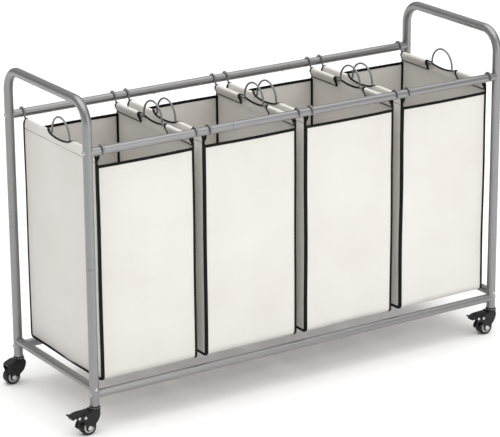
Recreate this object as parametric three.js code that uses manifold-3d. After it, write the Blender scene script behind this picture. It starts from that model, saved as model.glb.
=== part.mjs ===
// A four-bag laundry sorter on wheels: two bent tube end frames joined by long rails in three lengths,
// four canvas bags hung between the top rails on wire hangers, and four swivel casters.
// Millimetres, +Z up. +X runs along the rails, the front is -Y, and z = 0 is the floor.

import * as THREE from 'three';
import { mergeVertices } from 'three/addons/utils/BufferGeometryUtils.js';
import Module from 'manifold-3d';

const wasm = await Module();
wasm.setup();

// Driving dimensions of the frame
const POST_SPACING_X = 1150;      // left posts to right posts, centre to centre
const POST_SPACING_Y = 371;       // front posts to rear posts, centre to centre
const POST_RADIUS = 11;
const RAIL_RADIUS = 10;
const TUBE_WALL = 1.1;
const BOTTOM_RAIL_Z = 92.5;
const SIDE_RAIL_Z = 106.7;
const TOP_RAIL_Z = 669.7;
const ARCH_BAR_Z = 782.4;
const ARCH_BEND_RADIUS = 52;
const FOOT_Z = 61;                // underside of the legs
const SLEEVE_Z = [398, 423];      // the short sleeve that joins each leg to the end frame above it
const SEAM_X = 201;               // rail seams, either side of the middle length's centre
const HUNG_OFFSET_X = 4;          // the middle lengths and the bags sit this far right of centre
const SPIGOT_LENGTH = 25;
const GAP = 0.3;                  // between pieces that touch
const TUBE_SIDES = 12;

// Driving dimensions of the bags and their hangers
const BAG_PITCH = 281.5;
const BAG_WIDTH = 255;
const BAG_DEPTH = 345;
const BAG_BOTTOM_Z = 113;
const PANEL_TOP_Z = 631;          // top edge of the front and rear panels
const HEM_TOP_Z = 661;            // top of the side panels' hems
const CANVAS = 2.3;
const HEM_THICKNESS = 10;
const SCALLOP_RADIUS = 200;       // the shallow curve cut in the middle of each hem
const SCALLOP_DEPTH = 9;
const WIRE_RADIUS = 2.4;
const WIRE_Z = 657;
const WIRE_X = 122.5;             // each hanger's plane, from the middle of its bag
const HOOK_RADIUS = RAIL_RADIUS + WIRE_RADIUS + GAP;
const HOOK_END_Z = 660;
const CORNER_RADIUS = 7;
const LOOP_RADIUS = 41;
const FOOT_BEND_RADIUS = 6;
const REVERSE_BEND_RADIUS = 10;

// Driving dimensions of the casters
const WHEEL_RADIUS = 19;
const WHEEL_HALF_WIDTH = 11;
const CASTER_TRAIL = 21;
const FORK_HALF_WIDTH = 13.5;
const FORK_SLOT = 11.5;           // half of the space between the fork's cheeks
const CROWN_Z = 44;               // underside of the fork's crown
const FORK_TOP_Z = 58.7;
const STEM_RADIUS = 4;
const AXLE_RADIUS = 3;
const FORK_NOSE = 13;             // from the stem to the front of a fork without a brake
const PEDAL_REACH = 73;           // from the stem to the tip of the brake pedal
const PEDAL_PIVOT = [-31, 45.5];
const PIN_RADIUS = 1.9;

const HALF_X = POST_SPACING_X / 2;
const HALF_Y = POST_SPACING_Y / 2;

// Shapes

function closed(geometry) {
  geometry.deleteAttribute('normal');
  geometry.deleteAttribute('uv');
  return mergeVertices(geometry, 1e-3);
}

function solidOf(geometry) {
  const merged = closed(geometry);
  const vertProperties = new Float32Array(merged.attributes.position.array);
  const triVerts = new Uint32Array(merged.index.array);
  return new wasm.Manifold(new wasm.Mesh({ numProp: 3, vertProperties, triVerts }));
}

function geometryOf(solid) {
  const mesh = solid.getMesh();
  const geometry = new THREE.BufferGeometry();
  geometry.setAttribute('position', new THREE.BufferAttribute(new Float32Array(mesh.vertProperties), 3));
  geometry.setIndex(new THREE.BufferAttribute(new Uint32Array(mesh.triVerts), 1));
  return geometry;
}

function cut(geometry, ...tools) {
  const solid = tools.reduce((rest, tool) => rest.subtract(solidOf(tool)), solidOf(geometry));
  return geometryOf(solid);
}

function join(geometry, ...others) {
  const solid = others.reduce((whole, other) => whole.add(solidOf(other)), solidOf(geometry));
  return geometryOf(solid);
}

// A profile of [radius, height] pairs turned about +Z.
function turned(profile, sides) {
  const points = profile.map(([radius, height]) => new THREE.Vector2(radius, height));
  return closed(new THREE.LatheGeometry(points, sides).rotateX(Math.PI / 2));
}

function rod(radius, low, high, sides) {
  return turned([[0, low], [radius, low], [radius, high], [0, high]], sides);
}

// A tube along +Z, from one height to the other.
function tube(outer, inner, low, high, sides) {
  return turned([[inner, low], [outer, low], [outer, high], [inner, high], [inner, low]], sides);
}

function block([x0, x1], [y0, y1], [z0, z1]) {
  const box = new THREE.BoxGeometry(x1 - x0, y1 - y0, z1 - z0);
  return box.translate((x0 + x1) / 2, (y0 + y1) / 2, (z0 + z1) / 2);
}

function shapeOf(points) {
  return new THREE.Shape(points.map(([x, z]) => new THREE.Vector2(x, z)));
}

// An outline of [x, z] points, or a shape, made into a plate from y = -half to y = +half.
function plate(outline, half) {
  const shape = outline instanceof THREE.Shape ? outline : shapeOf(outline);
  const solid = new THREE.ExtrudeGeometry(shape, { depth: 2 * half, bevelEnabled: false, curveSegments: 5 });
  return closed(solid.rotateX(Math.PI / 2).translate(0, half, 0));
}

// Points [y, z] along an arc, both ends included, with angles in degrees.
function arc([y, z], radius, from, to, steps) {
  return Array.from({ length: steps + 1 }, (_, k) => {
    const angle = THREE.MathUtils.degToRad(from + (to - from) * k / steps);
    return [y + radius * Math.cos(angle), z + radius * Math.sin(angle)];
  });
}

// The centre line of a bent rod in the YZ plane, with one step of the extrusion to each pair of points.
class BentLine extends THREE.Curve {
  constructor(points) {
    super();
    this.points = points.map(([y, z]) => new THREE.Vector3(0, y, z));
  }

  getPointAt(u) {
    return this.points[Math.round(u * (this.points.length - 1))].clone();
  }

  getTangentAt(u) {
    const here = Math.round(u * (this.points.length - 1));
    const direction = (k) => {
      const start = THREE.MathUtils.clamp(k, 0, this.points.length - 2);
      return this.points[start + 1].clone().sub(this.points[start]).normalize();
    };
    return direction(here - 1).add(direction(here)).normalize();
  }
}

function bent(points, outer, inner, sides) {
  const circle = (radius, count) => Array.from({ length: count }, (_, k) => {
    const angle = 2 * Math.PI * k / count;
    return new THREE.Vector2(radius * Math.cos(angle), radius * Math.sin(angle));
  });
  const section = new THREE.Shape(circle(outer, sides));
  if (inner) section.holes.push(new THREE.Path(circle(inner, sides)));
  const extrudePath = new BentLine(points);
  return closed(new THREE.ExtrudeGeometry(section, { steps: points.length - 1, extrudePath }));
}

// Materials

const MATERIALS = {
  frame: { color: '#a3a4a3', metalness: 0.55, roughness: 0.42 },
  canvas: { color: '#e6e2da', metalness: 0, roughness: 0.92 },
  wire: { color: '#55575a', metalness: 0.6, roughness: 0.45 },
  plated: { color: '#c8c8c6', metalness: 0.9, roughness: 0.3 },
  caster: { color: '#26272a', metalness: 0, roughness: 0.5 },
  tread: { color: '#1d1e1f', metalness: 0, roughness: 0.75 },
  hub: { color: '#b9babb', metalness: 0.2, roughness: 0.45 },
};

function piece(name, finish, geometry) {
  const made = new THREE.Mesh(geometry, new THREE.MeshStandardMaterial(MATERIALS[finish]));
  made.name = name;
  return made;
}

const sorter = new THREE.Group();
const CORNERS = [['fl', -1, -1], ['fr', 1, -1], ['rl', -1, 1], ['rr', 1, 1]];
const POST_BORE = POST_RADIUS - TUBE_WALL;
const RAIL_BORE = RAIL_RADIUS - TUBE_WALL;

// End frames: one tube bent over at both ends, so that its top bar is a push handle

function endFrame() {
  const foot = SLEEVE_Z[1] + GAP / 2;
  const bendZ = ARCH_BAR_Z - ARCH_BEND_RADIUS;
  const bendY = HALF_Y - ARCH_BEND_RADIUS;
  const line = [
    [HALF_Y, foot],
    ...arc([bendY, bendZ], ARCH_BEND_RADIUS, 0, 90, 6),
    ...arc([-bendY, bendZ], ARCH_BEND_RADIUS, 90, 180, 6),
    [-HALF_Y, foot],
  ];
  return bent(line, POST_RADIUS, POST_BORE, TUBE_SIDES);
}

for (const [side, x] of [['left', -HALF_X], ['right', HALF_X]]) {
  const arch = piece(`end_frame_${side}`, 'frame', endFrame());
  arch.position.x = x;
  sorter.add(arch);
}

// Legs, and the sleeves that join them to the end frames

function leg() {
  return tube(POST_RADIUS, POST_BORE, FOOT_Z, SLEEVE_Z[0] - GAP / 2, TUBE_SIDES);
}

function sleeve() {
  const [low, high] = [SLEEVE_Z[0] + GAP / 2, SLEEVE_Z[1] - GAP / 2];
  const spigot = POST_BORE - 2 * GAP;
  const bore = spigot - TUBE_WALL;
  const [foot, head] = [low - SPIGOT_LENGTH, high + SPIGOT_LENGTH];
  return turned([[bore, foot], [spigot, foot], [spigot, low], [POST_RADIUS, low], [POST_RADIUS, high],
    [spigot, high], [spigot, head], [bore, head], [bore, foot]], TUBE_SIDES);
}

for (const [corner, x, y] of CORNERS) {
  const post = new THREE.Group();
  post.position.set(x * HALF_X, y * HALF_Y, 0);
  post.add(piece(`leg_${corner}`, 'frame', leg()));
  post.add(piece(`post_sleeve_${corner}`, 'frame', sleeve()));
  sorter.add(post);
}

// Side rails, with their ends shaped to the legs

function postCutter() {
  return rod(POST_RADIUS + GAP, -2 * RAIL_RADIUS, 2 * RAIL_RADIUS, 16);
}

function sideRail() {
  const rail = tube(RAIL_RADIUS, RAIL_BORE, -HALF_Y, HALF_Y, TUBE_SIDES).rotateX(Math.PI / 2);
  return cut(rail, postCutter().translate(0, -HALF_Y, 0), postCutter().translate(0, HALF_Y, 0));
}

for (const [side, x] of [['left', -HALF_X], ['right', HALF_X]]) {
  const rail = piece(`side_rail_${side}`, 'frame', sideRail());
  rail.position.set(x, 0, SIDE_RAIL_Z);
  sorter.add(rail);
}

// Long rails: the two outer lengths have a reduced end that slides into the middle length

function middleLength() {
  const half = SEAM_X - GAP / 2;
  return tube(RAIL_RADIUS, RAIL_BORE, -half, half, TUBE_SIDES).rotateY(Math.PI / 2);
}

// From a post on the -X side to its seam; the +X one is the same length turned round.
function outerLength(length) {
  const spigot = RAIL_BORE - 2 * GAP;
  const bore = spigot - TUBE_WALL;
  const end = length - GAP / 2;
  const rail = turned([[RAIL_BORE, 2], [RAIL_RADIUS, 2], [RAIL_RADIUS, end], [spigot, end],
    [spigot, end + SPIGOT_LENGTH], [bore, end + SPIGOT_LENGTH], [bore, end - 1], [RAIL_BORE, end - 3],
    [RAIL_BORE, 2]], TUBE_SIDES);
  return cut(rail.rotateY(Math.PI / 2), postCutter());
}

for (const [row, y, z] of [['top_front', -HALF_Y, TOP_RAIL_Z], ['top_rear', HALF_Y, TOP_RAIL_Z],
  ['bottom_front', -HALF_Y, BOTTOM_RAIL_Z], ['bottom_rear', HALF_Y, BOTTOM_RAIL_Z]]) {
  const left = piece(`${row}_rail_left`, 'frame', outerLength(HALF_X - SEAM_X + HUNG_OFFSET_X));
  left.position.set(-HALF_X, y, z);
  const middle = piece(`${row}_rail_middle`, 'frame', middleLength());
  middle.position.set(HUNG_OFFSET_X, y, z);
  const right = piece(`${row}_rail_right`, 'frame', outerLength(HALF_X - SEAM_X - HUNG_OFFSET_X));
  right.position.set(HALF_X, y, z);
  right.rotation.z = Math.PI;
  sorter.add(left, middle, right);
}

// Hangers: one wire with a hook over each top rail, a straight run through the hem and a loop handle

function hanger() {
  const turnBack = THREE.MathUtils.degToRad(30);
  const footY = LOOP_RADIUS + FOOT_BEND_RADIUS;
  const footZ = WIRE_Z + FOOT_BEND_RADIUS * Math.cos(turnBack)
    - REVERSE_BEND_RADIUS * (1 - Math.cos(turnBack));
  const reverseY = footY + (FOOT_BEND_RADIUS + REVERSE_BEND_RADIUS) * Math.sin(turnBack);
  const innerY = HALF_Y - HOOK_RADIUS;
  const half = [
    ...arc([0, footZ], LOOP_RADIUS, 90, 0, 5),
    ...arc([footY, footZ], FOOT_BEND_RADIUS, 180, 300, 3).slice(1),
    [reverseY, WIRE_Z],
    ...arc([innerY - CORNER_RADIUS, WIRE_Z + CORNER_RADIUS], CORNER_RADIUS, 270, 360, 3),
    ...arc([HALF_Y, TOP_RAIL_Z], HOOK_RADIUS, 180, 0, 6),
    [HALF_Y + HOOK_RADIUS, HOOK_END_Z],
  ];
  const mirrored = half.slice(1).reverse().map(([y, z]) => [-y, z]);
  return bent([...mirrored, ...half], WIRE_RADIUS, 0, 6);
}

// Canvas bags: open boxes whose side panels end in a hem that the hanger runs through

function bag() {
  const side = BAG_WIDTH / 2;
  const depth = BAG_DEPTH / 2;
  const inside = side - CANVAS;
  const hemInside = side - HEM_THICKNESS;
  const hemFoot = HEM_TOP_Z - 10;
  const stitchZ = HEM_TOP_Z - 25;
  const half = [[side, BAG_BOTTOM_Z], [side, HEM_TOP_Z], [hemInside, HEM_TOP_Z], [hemInside, hemFoot],
    [inside, stitchZ], [inside, BAG_BOTTOM_Z + CANVAS]];
  const walls = plate([...half, ...half.toReversed().map(([x, z]) => [-x, z])], depth);
  const front = block([-side + 1, side - 1], [-depth, -depth + CANVAS], [BAG_BOTTOM_Z + 1, PANEL_TOP_Z]);
  const rear = block([-side + 1, side - 1], [depth - CANVAS, depth], [BAG_BOTTOM_Z + 1, PANEL_TOP_Z]);

  const hemEnd = HALF_Y - HOOK_RADIUS - CORNER_RADIUS - 1;
  const cornerZ = WIRE_Z - 12;
  const notch = 60;
  const scallopZ = HEM_TOP_Z + SCALLOP_RADIUS - SCALLOP_DEPTH;
  const scallop = shapeOf(arc([0, scallopZ], SCALLOP_RADIUS, 252, 288, 6));
  const tools = [];
  for (const sign of [-1, 1]) {
    const hem = [sign * side - HEM_THICKNESS - 2, sign * side + HEM_THICKNESS + 2];
    const flap = sign < 0 ? [-inside, 20 - inside] : [inside - 20, inside];
    const bore = rod(WIRE_RADIUS + 2 * GAP, -depth - 1, depth + 1, 8).rotateX(Math.PI / 2);
    tools.push(bore.translate(sign * WIRE_X, 0, WIRE_Z));
    tools.push(block(flap, [-notch, notch], [stitchZ + 2, HEM_TOP_Z + 1]));
    tools.push(block(hem, [-depth - 1, -hemEnd], [cornerZ, HEM_TOP_Z + 1]));
    tools.push(block(hem, [hemEnd, depth + 1], [cornerZ, HEM_TOP_Z + 1]));
    tools.push(plate(scallop, 4).rotateZ(Math.PI / 2).translate(sign * side, 0, 0));
  }
  return cut(join(walls, front, rear), ...tools);
}

for (const number of [1, 2, 3, 4]) {
  const hung = new THREE.Group();
  hung.position.x = HUNG_OFFSET_X + (number - 2.5) * BAG_PITCH;
  hung.add(piece(`bag_${number}`, 'canvas', bag()));
  for (const [side, x] of [['left', -WIRE_X], ['right', WIRE_X]]) {
    const wire = piece(`bag_${number}_hanger_${side}`, 'wire', hanger());
    wire.position.x = x;
    hung.add(wire);
  }
  sorter.add(hung);
}

// Casters: a stem plugged into the leg, a swivelling fork, and a wheel on an axle. The front two have brakes.

function stem() {
  const plug = POST_BORE - 2 * GAP;
  return turned([[0, CROWN_Z - 3], [6.5, CROWN_Z - 3], [6.5, CROWN_Z - GAP], [STEM_RADIUS, CROWN_Z - GAP],
    [STEM_RADIUS, FORK_TOP_Z + GAP], [POST_RADIUS - 0.5, FORK_TOP_Z + GAP], [POST_RADIUS - 0.5, FOOT_Z - GAP],
    [plug, FOOT_Z - GAP], [plug, FOOT_Z + 23], [0, FOOT_Z + 23]], 12);
}

function axleBore(radius) {
  return rod(radius, -2 * FORK_HALF_WIDTH, 2 * FORK_HALF_WIDTH, 12).rotateX(Math.PI / 2);
}

function fork(braked) {
  const nose = braked ? 8 : FORK_NOSE;
  const tail = braked ? -52 : -36;
  const tailLow = braked ? 39 : 42;
  const tailHigh = braked ? 48 : 52;
  const outline = new THREE.Shape();
  outline.moveTo(nose, 55);
  outline.lineTo(nose - 3, 57);
  outline.lineTo(-17, 56.5);
  outline.lineTo(tail, tailHigh);
  outline.lineTo(tail, tailLow);
  outline.lineTo(-33, 37);
  outline.lineTo(-CASTER_TRAIL - 8, WHEEL_RADIUS + 3);
  outline.absarc(-CASTER_TRAIL, WHEEL_RADIUS, 8.5, Math.PI * 0.9, Math.PI * 1.85, false);
  outline.lineTo(nose - 6, 35);
  outline.lineTo(nose - 1, 46);
  const raceway = rod(12.5, 50, FORK_TOP_Z, 12);
  const slot = block([-80, 40], [-FORK_SLOT, FORK_SLOT], [0, CROWN_Z]);
  const rear = block([-80, -17], [-FORK_SLOT, FORK_SLOT], [CROWN_Z - 1, 80]);
  const cuts = [slot, rod(STEM_RADIUS + GAP, CROWN_Z - 5, FORK_TOP_Z + 5, 12)];
  cuts.push(axleBore(AXLE_RADIUS + GAP).translate(-CASTER_TRAIL, 0, WHEEL_RADIUS));
  if (braked) cuts.push(rear, axleBore(PIN_RADIUS + GAP).translate(PEDAL_PIVOT[0], 0, PEDAL_PIVOT[1]));
  return cut(join(plate(outline, FORK_HALF_WIDTH), raceway), ...cuts);
}

// The wheel's section is a regular polygon with one flat facing down, at the wheel's radius.
const TREAD_SIDES = 24;
const TREAD_RADIUS = WHEEL_RADIUS / Math.cos(Math.PI / TREAD_SIDES);

function aboutAxle(geometry) {
  return geometry.rotateX(Math.PI / 2).rotateY(Math.PI / TREAD_SIDES);
}

function tyre() {
  const [bore, edge] = [13.3, WHEEL_HALF_WIDTH];
  return aboutAxle(turned([[bore, -edge], [TREAD_RADIUS - 2, -edge], [TREAD_RADIUS, 2.5 - edge],
    [TREAD_RADIUS, edge - 2.5], [TREAD_RADIUS - 2, edge], [bore, edge], [bore, -edge]], TREAD_SIDES));
}

function hub() {
  const bore = AXLE_RADIUS + GAP;
  const half = [[bore, 11.2], [6, 11.2], [7.5, 9], [10.5, 9], [11.5, 10.6], [12.9, 10.6]];
  const rest = half.toReversed().map(([radius, y]) => [radius, -y]);
  return aboutAxle(turned([...half, ...rest, half[0]].reverse(), 12));
}

function axle() {
  const [head, inner, outer] = [5.5, FORK_HALF_WIDTH + GAP, FORK_HALF_WIDTH + 2.5];
  return turned([[0, -outer], [head, -outer], [head, -inner], [AXLE_RADIUS, -inner], [AXLE_RADIUS, inner],
    [head, inner], [head, outer], [0, outer]], 12).rotateX(Math.PI / 2);
}

function pedal() {
  const cover = [[-18.5, 58], [-18.5, 60], [-34, 62.5], [-52, 62], [-PEDAL_REACH, 61.5],
    [1 - PEDAL_REACH, 59.5], [-62, 57.5], [-52, 57.5]];
  const core = [[-19, 59], [-56, 59], [-60, 55], [-59, 47], [-50, 44], [-48, 41], [-34, 41], [-26, 45],
    [-19, 52]];
  const lever = join(plate(cover.reverse(), FORK_HALF_WIDTH - 1), plate(core, FORK_SLOT - GAP));
  return cut(lever, axleBore(PIN_RADIUS + GAP).translate(PEDAL_PIVOT[0], 0, PEDAL_PIVOT[1]));
}

function pin() {
  const [head, inner, outer] = [3.2, FORK_HALF_WIDTH + GAP, FORK_HALF_WIDTH + 1.3];
  return turned([[0, -outer], [head, -outer], [head, -inner], [PIN_RADIUS, -inner], [PIN_RADIUS, inner],
    [head, inner], [head, outer], [0, outer]], 12).rotateX(Math.PI / 2);
}

for (const [corner, x, y] of CORNERS) {
  const braked = y < 0;
  const caster = new THREE.Group();
  caster.position.set(x * HALF_X, y * HALF_Y, 0);
  caster.add(piece(`caster_stem_${corner}`, 'plated', stem()));
  caster.add(piece(`caster_fork_${corner}`, 'caster', fork(braked)));
  const wheel = new THREE.Group();
  wheel.position.set(-CASTER_TRAIL, 0, WHEEL_RADIUS);
  wheel.add(piece(`caster_tyre_${corner}`, 'tread', tyre()));
  wheel.add(piece(`caster_hub_${corner}`, 'hub', hub()));
  wheel.add(piece(`caster_axle_${corner}`, 'plated', axle()));
  caster.add(wheel);
  if (braked) {
    const rivet = piece(`brake_pin_${corner}`, 'plated', pin());
    rivet.position.set(PEDAL_PIVOT[0], 0, PEDAL_PIVOT[1]);
    caster.add(piece(`brake_pedal_${corner}`, 'caster', pedal()), rivet);
  }
  sorter.add(caster);
}

// The origin is the middle of the whole object on the floor. The tip of the left pedal and the nose of the
// right rear fork are its ends.
sorter.position.x = (PEDAL_REACH - FORK_NOSE) / 2;

export default sorter;
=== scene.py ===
import math

import bmesh
import bpy
import numpy as np
from mathutils import Matrix, Vector


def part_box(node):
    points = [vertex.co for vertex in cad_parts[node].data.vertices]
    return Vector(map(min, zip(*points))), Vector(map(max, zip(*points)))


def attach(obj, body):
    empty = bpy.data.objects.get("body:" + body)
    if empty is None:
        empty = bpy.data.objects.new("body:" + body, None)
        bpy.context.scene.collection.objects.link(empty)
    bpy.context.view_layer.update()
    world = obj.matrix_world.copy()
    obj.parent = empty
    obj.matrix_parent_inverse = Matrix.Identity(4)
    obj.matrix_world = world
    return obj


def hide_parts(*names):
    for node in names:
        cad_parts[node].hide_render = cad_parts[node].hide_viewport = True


# A four-bag laundry sorter on wheels, in metres. +X runs along the rails, the front is -Y, the floor z = 0.
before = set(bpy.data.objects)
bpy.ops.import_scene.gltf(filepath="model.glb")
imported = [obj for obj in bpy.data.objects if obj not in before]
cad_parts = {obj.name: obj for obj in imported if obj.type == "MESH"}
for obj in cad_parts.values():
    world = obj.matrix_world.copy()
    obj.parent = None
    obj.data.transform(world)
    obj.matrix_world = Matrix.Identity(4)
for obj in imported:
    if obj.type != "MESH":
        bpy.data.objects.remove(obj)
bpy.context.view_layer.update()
random = np.random.default_rng(4)

# ---------------------------------------------------------------------------------------------------------
# Camera. It stands in front of the left end, over two metres up, and looks down along the sorter through a
# long lens. Its place is given from the foot of the front left post.

VIEW_YAW = math.radians(32.856)
VIEW_DOWN = math.radians(18.446)
VIEW_ROLL = math.radians(-0.404)
VIEW_FROM_POST = (-2.559, -4.624, 2.273)

post_low, post_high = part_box("leg_fl")
camera = bpy.data.objects.new("camera", bpy.data.cameras.new("camera"))
bpy.context.scene.collection.objects.link(camera)
camera.data.sensor_width = 36
camera.data.lens = 179.04
camera.location = (
    (post_low.x + post_high.x) / 2 + VIEW_FROM_POST[0],
    (post_low.y + post_high.y) / 2 + VIEW_FROM_POST[1],
    VIEW_FROM_POST[2],
)
aim = (
    Matrix.Rotation(-VIEW_YAW, 3, "Z")
    @ Matrix.Rotation(math.pi / 2 - VIEW_DOWN, 3, "X")
    @ Matrix.Rotation(VIEW_ROLL, 3, "Z")
)
camera.rotation_euler = aim.to_euler()
bpy.context.scene.camera = camera

# ---------------------------------------------------------------------------------------------------------
# Floor and light. A plain white studio floor runs well past the edge of the view. A broad soft box stands in
# front, a weaker one lights the left end, and a white ceiling lights the floor and the tops of the rails. The
# picture keeps the lights' own brightness, so that white canvas stays white beside a white floor.

bpy.context.scene.view_settings.view_transform = "Standard"
world = bpy.data.worlds.new("studio")
bpy.context.scene.world = world
world.use_nodes = True
nodes, link = world.node_tree.nodes, world.node_tree.links.new
walls = nodes["Background"]
walls.inputs["Strength"].default_value = 0.59
height = nodes.new("ShaderNodeSeparateXYZ")
link(nodes.new("ShaderNodeTexCoord").outputs["Generated"], height.inputs[0])
shade = nodes.new("ShaderNodeValToRGB").color_ramp.elements
shade[0].position, shade[0].color = 0.02, (0.42, 0.42, 0.42, 1)
shade[1].position, shade[1].color = 0.75, (1, 1, 1, 1)
link(height.outputs["Z"], nodes["Color Ramp"].inputs["Fac"])
link(nodes["Color Ramp"].outputs["Color"], walls.inputs["Color"])
backdrop = nodes.new("ShaderNodeBackground")
backdrop.inputs["Color"].default_value = (0.98, 0.98, 0.98, 1)
seen = nodes.new("ShaderNodeMixShader")
link(nodes.new("ShaderNodeLightPath").outputs["Is Camera Ray"], seen.inputs[0])
link(walls.outputs[0], seen.inputs[1])
link(backdrop.outputs[0], seen.inputs[2])
link(seen.outputs[0], nodes["World Output"].inputs["Surface"])

FLOOR_HALF = 40.0
floor_mesh = bpy.data.meshes.new("floor")
floor_mesh.from_pydata(
    [(x * FLOOR_HALF, y * FLOOR_HALF, 0) for x, y in ((-1, -1), (1, -1), (1, 1), (-1, 1))],
    [],
    [(0, 1, 2, 3)],
)
floor = bpy.data.objects.new("floor", floor_mesh)
bpy.context.scene.collection.objects.link(floor)
floor_paint = bpy.data.materials.new("floor_paint")
floor_paint.use_nodes = True
floor_shader = floor_paint.node_tree.nodes["Principled BSDF"]
floor_shader.inputs["Base Color"].default_value = (0.97, 0.97, 0.97, 1)
floor_shader.inputs["Roughness"].default_value = 0.9
floor_mesh.materials.append(floor_paint)


def soft_box(name, place, target, size, power):
    """A square area light of the given side, turned to face its target."""
    light = bpy.data.lights.new(name, "AREA")
    light.size = size
    light.energy = power
    holder = bpy.data.objects.new(name, light)
    bpy.context.scene.collection.objects.link(holder)
    holder.location = place
    holder.rotation_euler = (Vector(target) - Vector(place)).to_track_quat("-Z", "Y").to_euler()


soft_box("front_box", (0.9, -4.2, 1.9), (0, 0, 0.4), 2.4, 48)
soft_box("left_box", (-3.6, -1.2, 1.8), (0, 0, 0.4), 1.8, 2)

ceiling = bpy.data.lights.new("white_ceiling", "SUN")
ceiling.energy = 2.3
ceiling.angle = math.radians(80)
ceiling_holder = bpy.data.objects.new("white_ceiling", ceiling)
bpy.context.scene.collection.objects.link(ceiling_holder)

# ---------------------------------------------------------------------------------------------------------
# End frames. Each is one steel tube bent over at both ends, so that its top bar is the push handle. All of
# the frame's tube is sprayed with a silver-grey powder coat, which is baked on before the parts are packed.

MM = 0.001


def surface(name, **values):
    """A Principled surface whose constant values are set on its own sockets; _ stands for a space."""
    made = bpy.data.materials.new(name)
    made.use_nodes = True
    shader = made.node_tree.nodes["Principled BSDF"]
    for socket, value in values.items():
        shader.inputs[socket.replace("_", " ")].default_value = value
    return made


def add_node(made, kind, **inputs):
    """A node of that kind in the material, with the named inputs set or linked."""
    node = made.node_tree.nodes.new(kind)
    for socket, value in inputs.items():
        target = node.inputs[socket.replace("_", " ")]
        if isinstance(value, bpy.types.NodeSocket):
            made.node_tree.links.new(value, target)
        else:
            target.default_value = value
    return node


def mottle(made, scale, stretch=(1, 1, 1), detail=3.0, source="Object"):
    """Noise in the piece's own coordinates, as many waves to the metre as scale says."""
    place = made.node_tree.nodes.new("ShaderNodeTexCoord").outputs[source]
    place = add_node(made, "ShaderNodeMapping", Vector=place, Scale=stretch).outputs["Vector"]
    grain = add_node(made, "ShaderNodeTexNoise", Vector=place, Scale=scale, Detail=detail)
    return grain.outputs["Fac"]


def drive(made, socket, factor, dark, light, low=0.3, high=0.7):
    """Lets a factor between low and high run one socket of the surface from dark to light."""
    ramp = made.node_tree.nodes.new("ShaderNodeValToRGB")
    ramp.color_ramp.elements[0].position = low
    ramp.color_ramp.elements[1].position = high
    ramp.color_ramp.elements[0].color = (*dark, 1)
    ramp.color_ramp.elements[1].color = (*light, 1)
    made.node_tree.links.new(factor, ramp.inputs["Fac"])
    shader = made.node_tree.nodes["Principled BSDF"]
    made.node_tree.links.new(ramp.outputs["Color"], shader.inputs[socket])


def relief(made, height, depth, under=None):
    """Bumps of that depth in metres, laid over another bump if one is given."""
    bump = add_node(made, "ShaderNodeBump", Height=height, Distance=depth, Strength=1.0)
    if under:
        made.node_tree.links.new(under.outputs["Normal"], bump.inputs["Normal"])
    shader = made.node_tree.nodes["Principled BSDF"]
    made.node_tree.links.new(bump.outputs["Normal"], shader.inputs["Normal"])
    return bump


def coated(name, waves, dark, light, grit, depth, low=0.3, high=0.7, **values):
    """A surface whose colour wanders from dark to light, in so many waves to the metre, under a fine grain of
    grit bumps to the metre, each depth high."""
    made = surface(name, **values)
    drive(made, "Base Color", mottle(made, waves), dark, light, low, high)
    relief(made, mottle(made, grit, detail=1.0), depth)
    return made


def grey(level):
    return (level, level, level)


powder_coat = coated("powder_coat", 1500, grey(0.250), grey(0.285), 1300, 0.02 * MM,
                     Metallic=0.8, Coat_Weight=0.12, Coat_Roughness=0.3)
drive(powder_coat, "Roughness", mottle(powder_coat, 60), grey(0.33), grey(0.38))


def skin(grid, uv=None, caps=False, outward=None):
    """Joins neighbouring points of a grid into four-sided faces. A closed surface repeats its first row or
    column as its last, and its faces are turned so that the volume they enclose is positive; an open one
    takes outward = 1 or -1 instead. caps closes the first and last rows with one face each."""
    rows, columns = grid.shape[:2]
    index = np.arange(rows * columns).reshape(rows, columns)
    corners = (index[:-1, :-1], index[:-1, 1:], index[1:, 1:], index[1:, :-1])
    quads = np.stack([corner.ravel() for corner in corners], 1)
    points = grid.reshape(-1, 3)
    if outward is None:
        a, b, c, d = (points[quads[:, k]] - points.mean(0) for k in range(4))
        volume = (np.cross(a, b) * c).sum() + (np.cross(a, c) * d).sum()
        outward = 1 if volume > 0 else -1
    faces = quads.tolist()
    if caps:
        faces += [index[0, :-1][::-1].tolist(), index[-1, :-1].tolist()]
    if outward < 0:
        faces = [face[::-1] for face in faces]
    spread = np.zeros((len(points), 2)) if uv is None else uv.reshape(-1, 2)
    return points, faces, spread


def piece(name, skins, material, body, nodes=(), sharp=35, hard=True):
    """One mesh object made of skins, welded where their points meet, riding on a body. On a hard piece the
    larger faces lead the shading, so that a narrow rounded rim doesn't tint the long wall beside it."""
    starts = np.cumsum([0] + [len(points) for points, _, _ in skins])
    points = np.concatenate([points for points, _, _ in skins])
    faces = [[i + int(start) for i in face] for (_, own, _), start in zip(skins, starts) for face in own]
    mesh = bpy.data.meshes.new(name)
    mesh.from_pydata(points.tolist(), [], faces)
    vertex = np.empty(len(mesh.loops), np.int32)
    mesh.loops.foreach_get("vertex_index", vertex)
    spread = np.concatenate([uv for _, _, uv in skins])[vertex]
    mesh.uv_layers.new(name="cloth").data.foreach_set("uv", spread.astype(np.float32).ravel())
    shell = bmesh.new()
    shell.from_mesh(mesh)
    bmesh.ops.remove_doubles(shell, verts=shell.verts, dist=2e-6)
    unused = [point for point in shell.verts if not point.link_faces]
    bmesh.ops.delete(shell, geom=unused, context="VERTS")
    shell.to_mesh(mesh)
    shell.free()
    mesh.shade_smooth()
    mesh.set_sharp_from_angle(angle=math.radians(sharp))
    mesh.materials.append(material)
    made = bpy.data.objects.new(name, mesh)
    bpy.context.scene.collection.objects.link(made)
    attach(made, body)
    if nodes:
        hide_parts(*nodes)
    if hard:
        made.modifiers.new("shading", "WEIGHTED_NORMAL").keep_sharp = True
    return made


def middle(node):
    low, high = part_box(node)
    return np.array((low + high) / 2)


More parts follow.
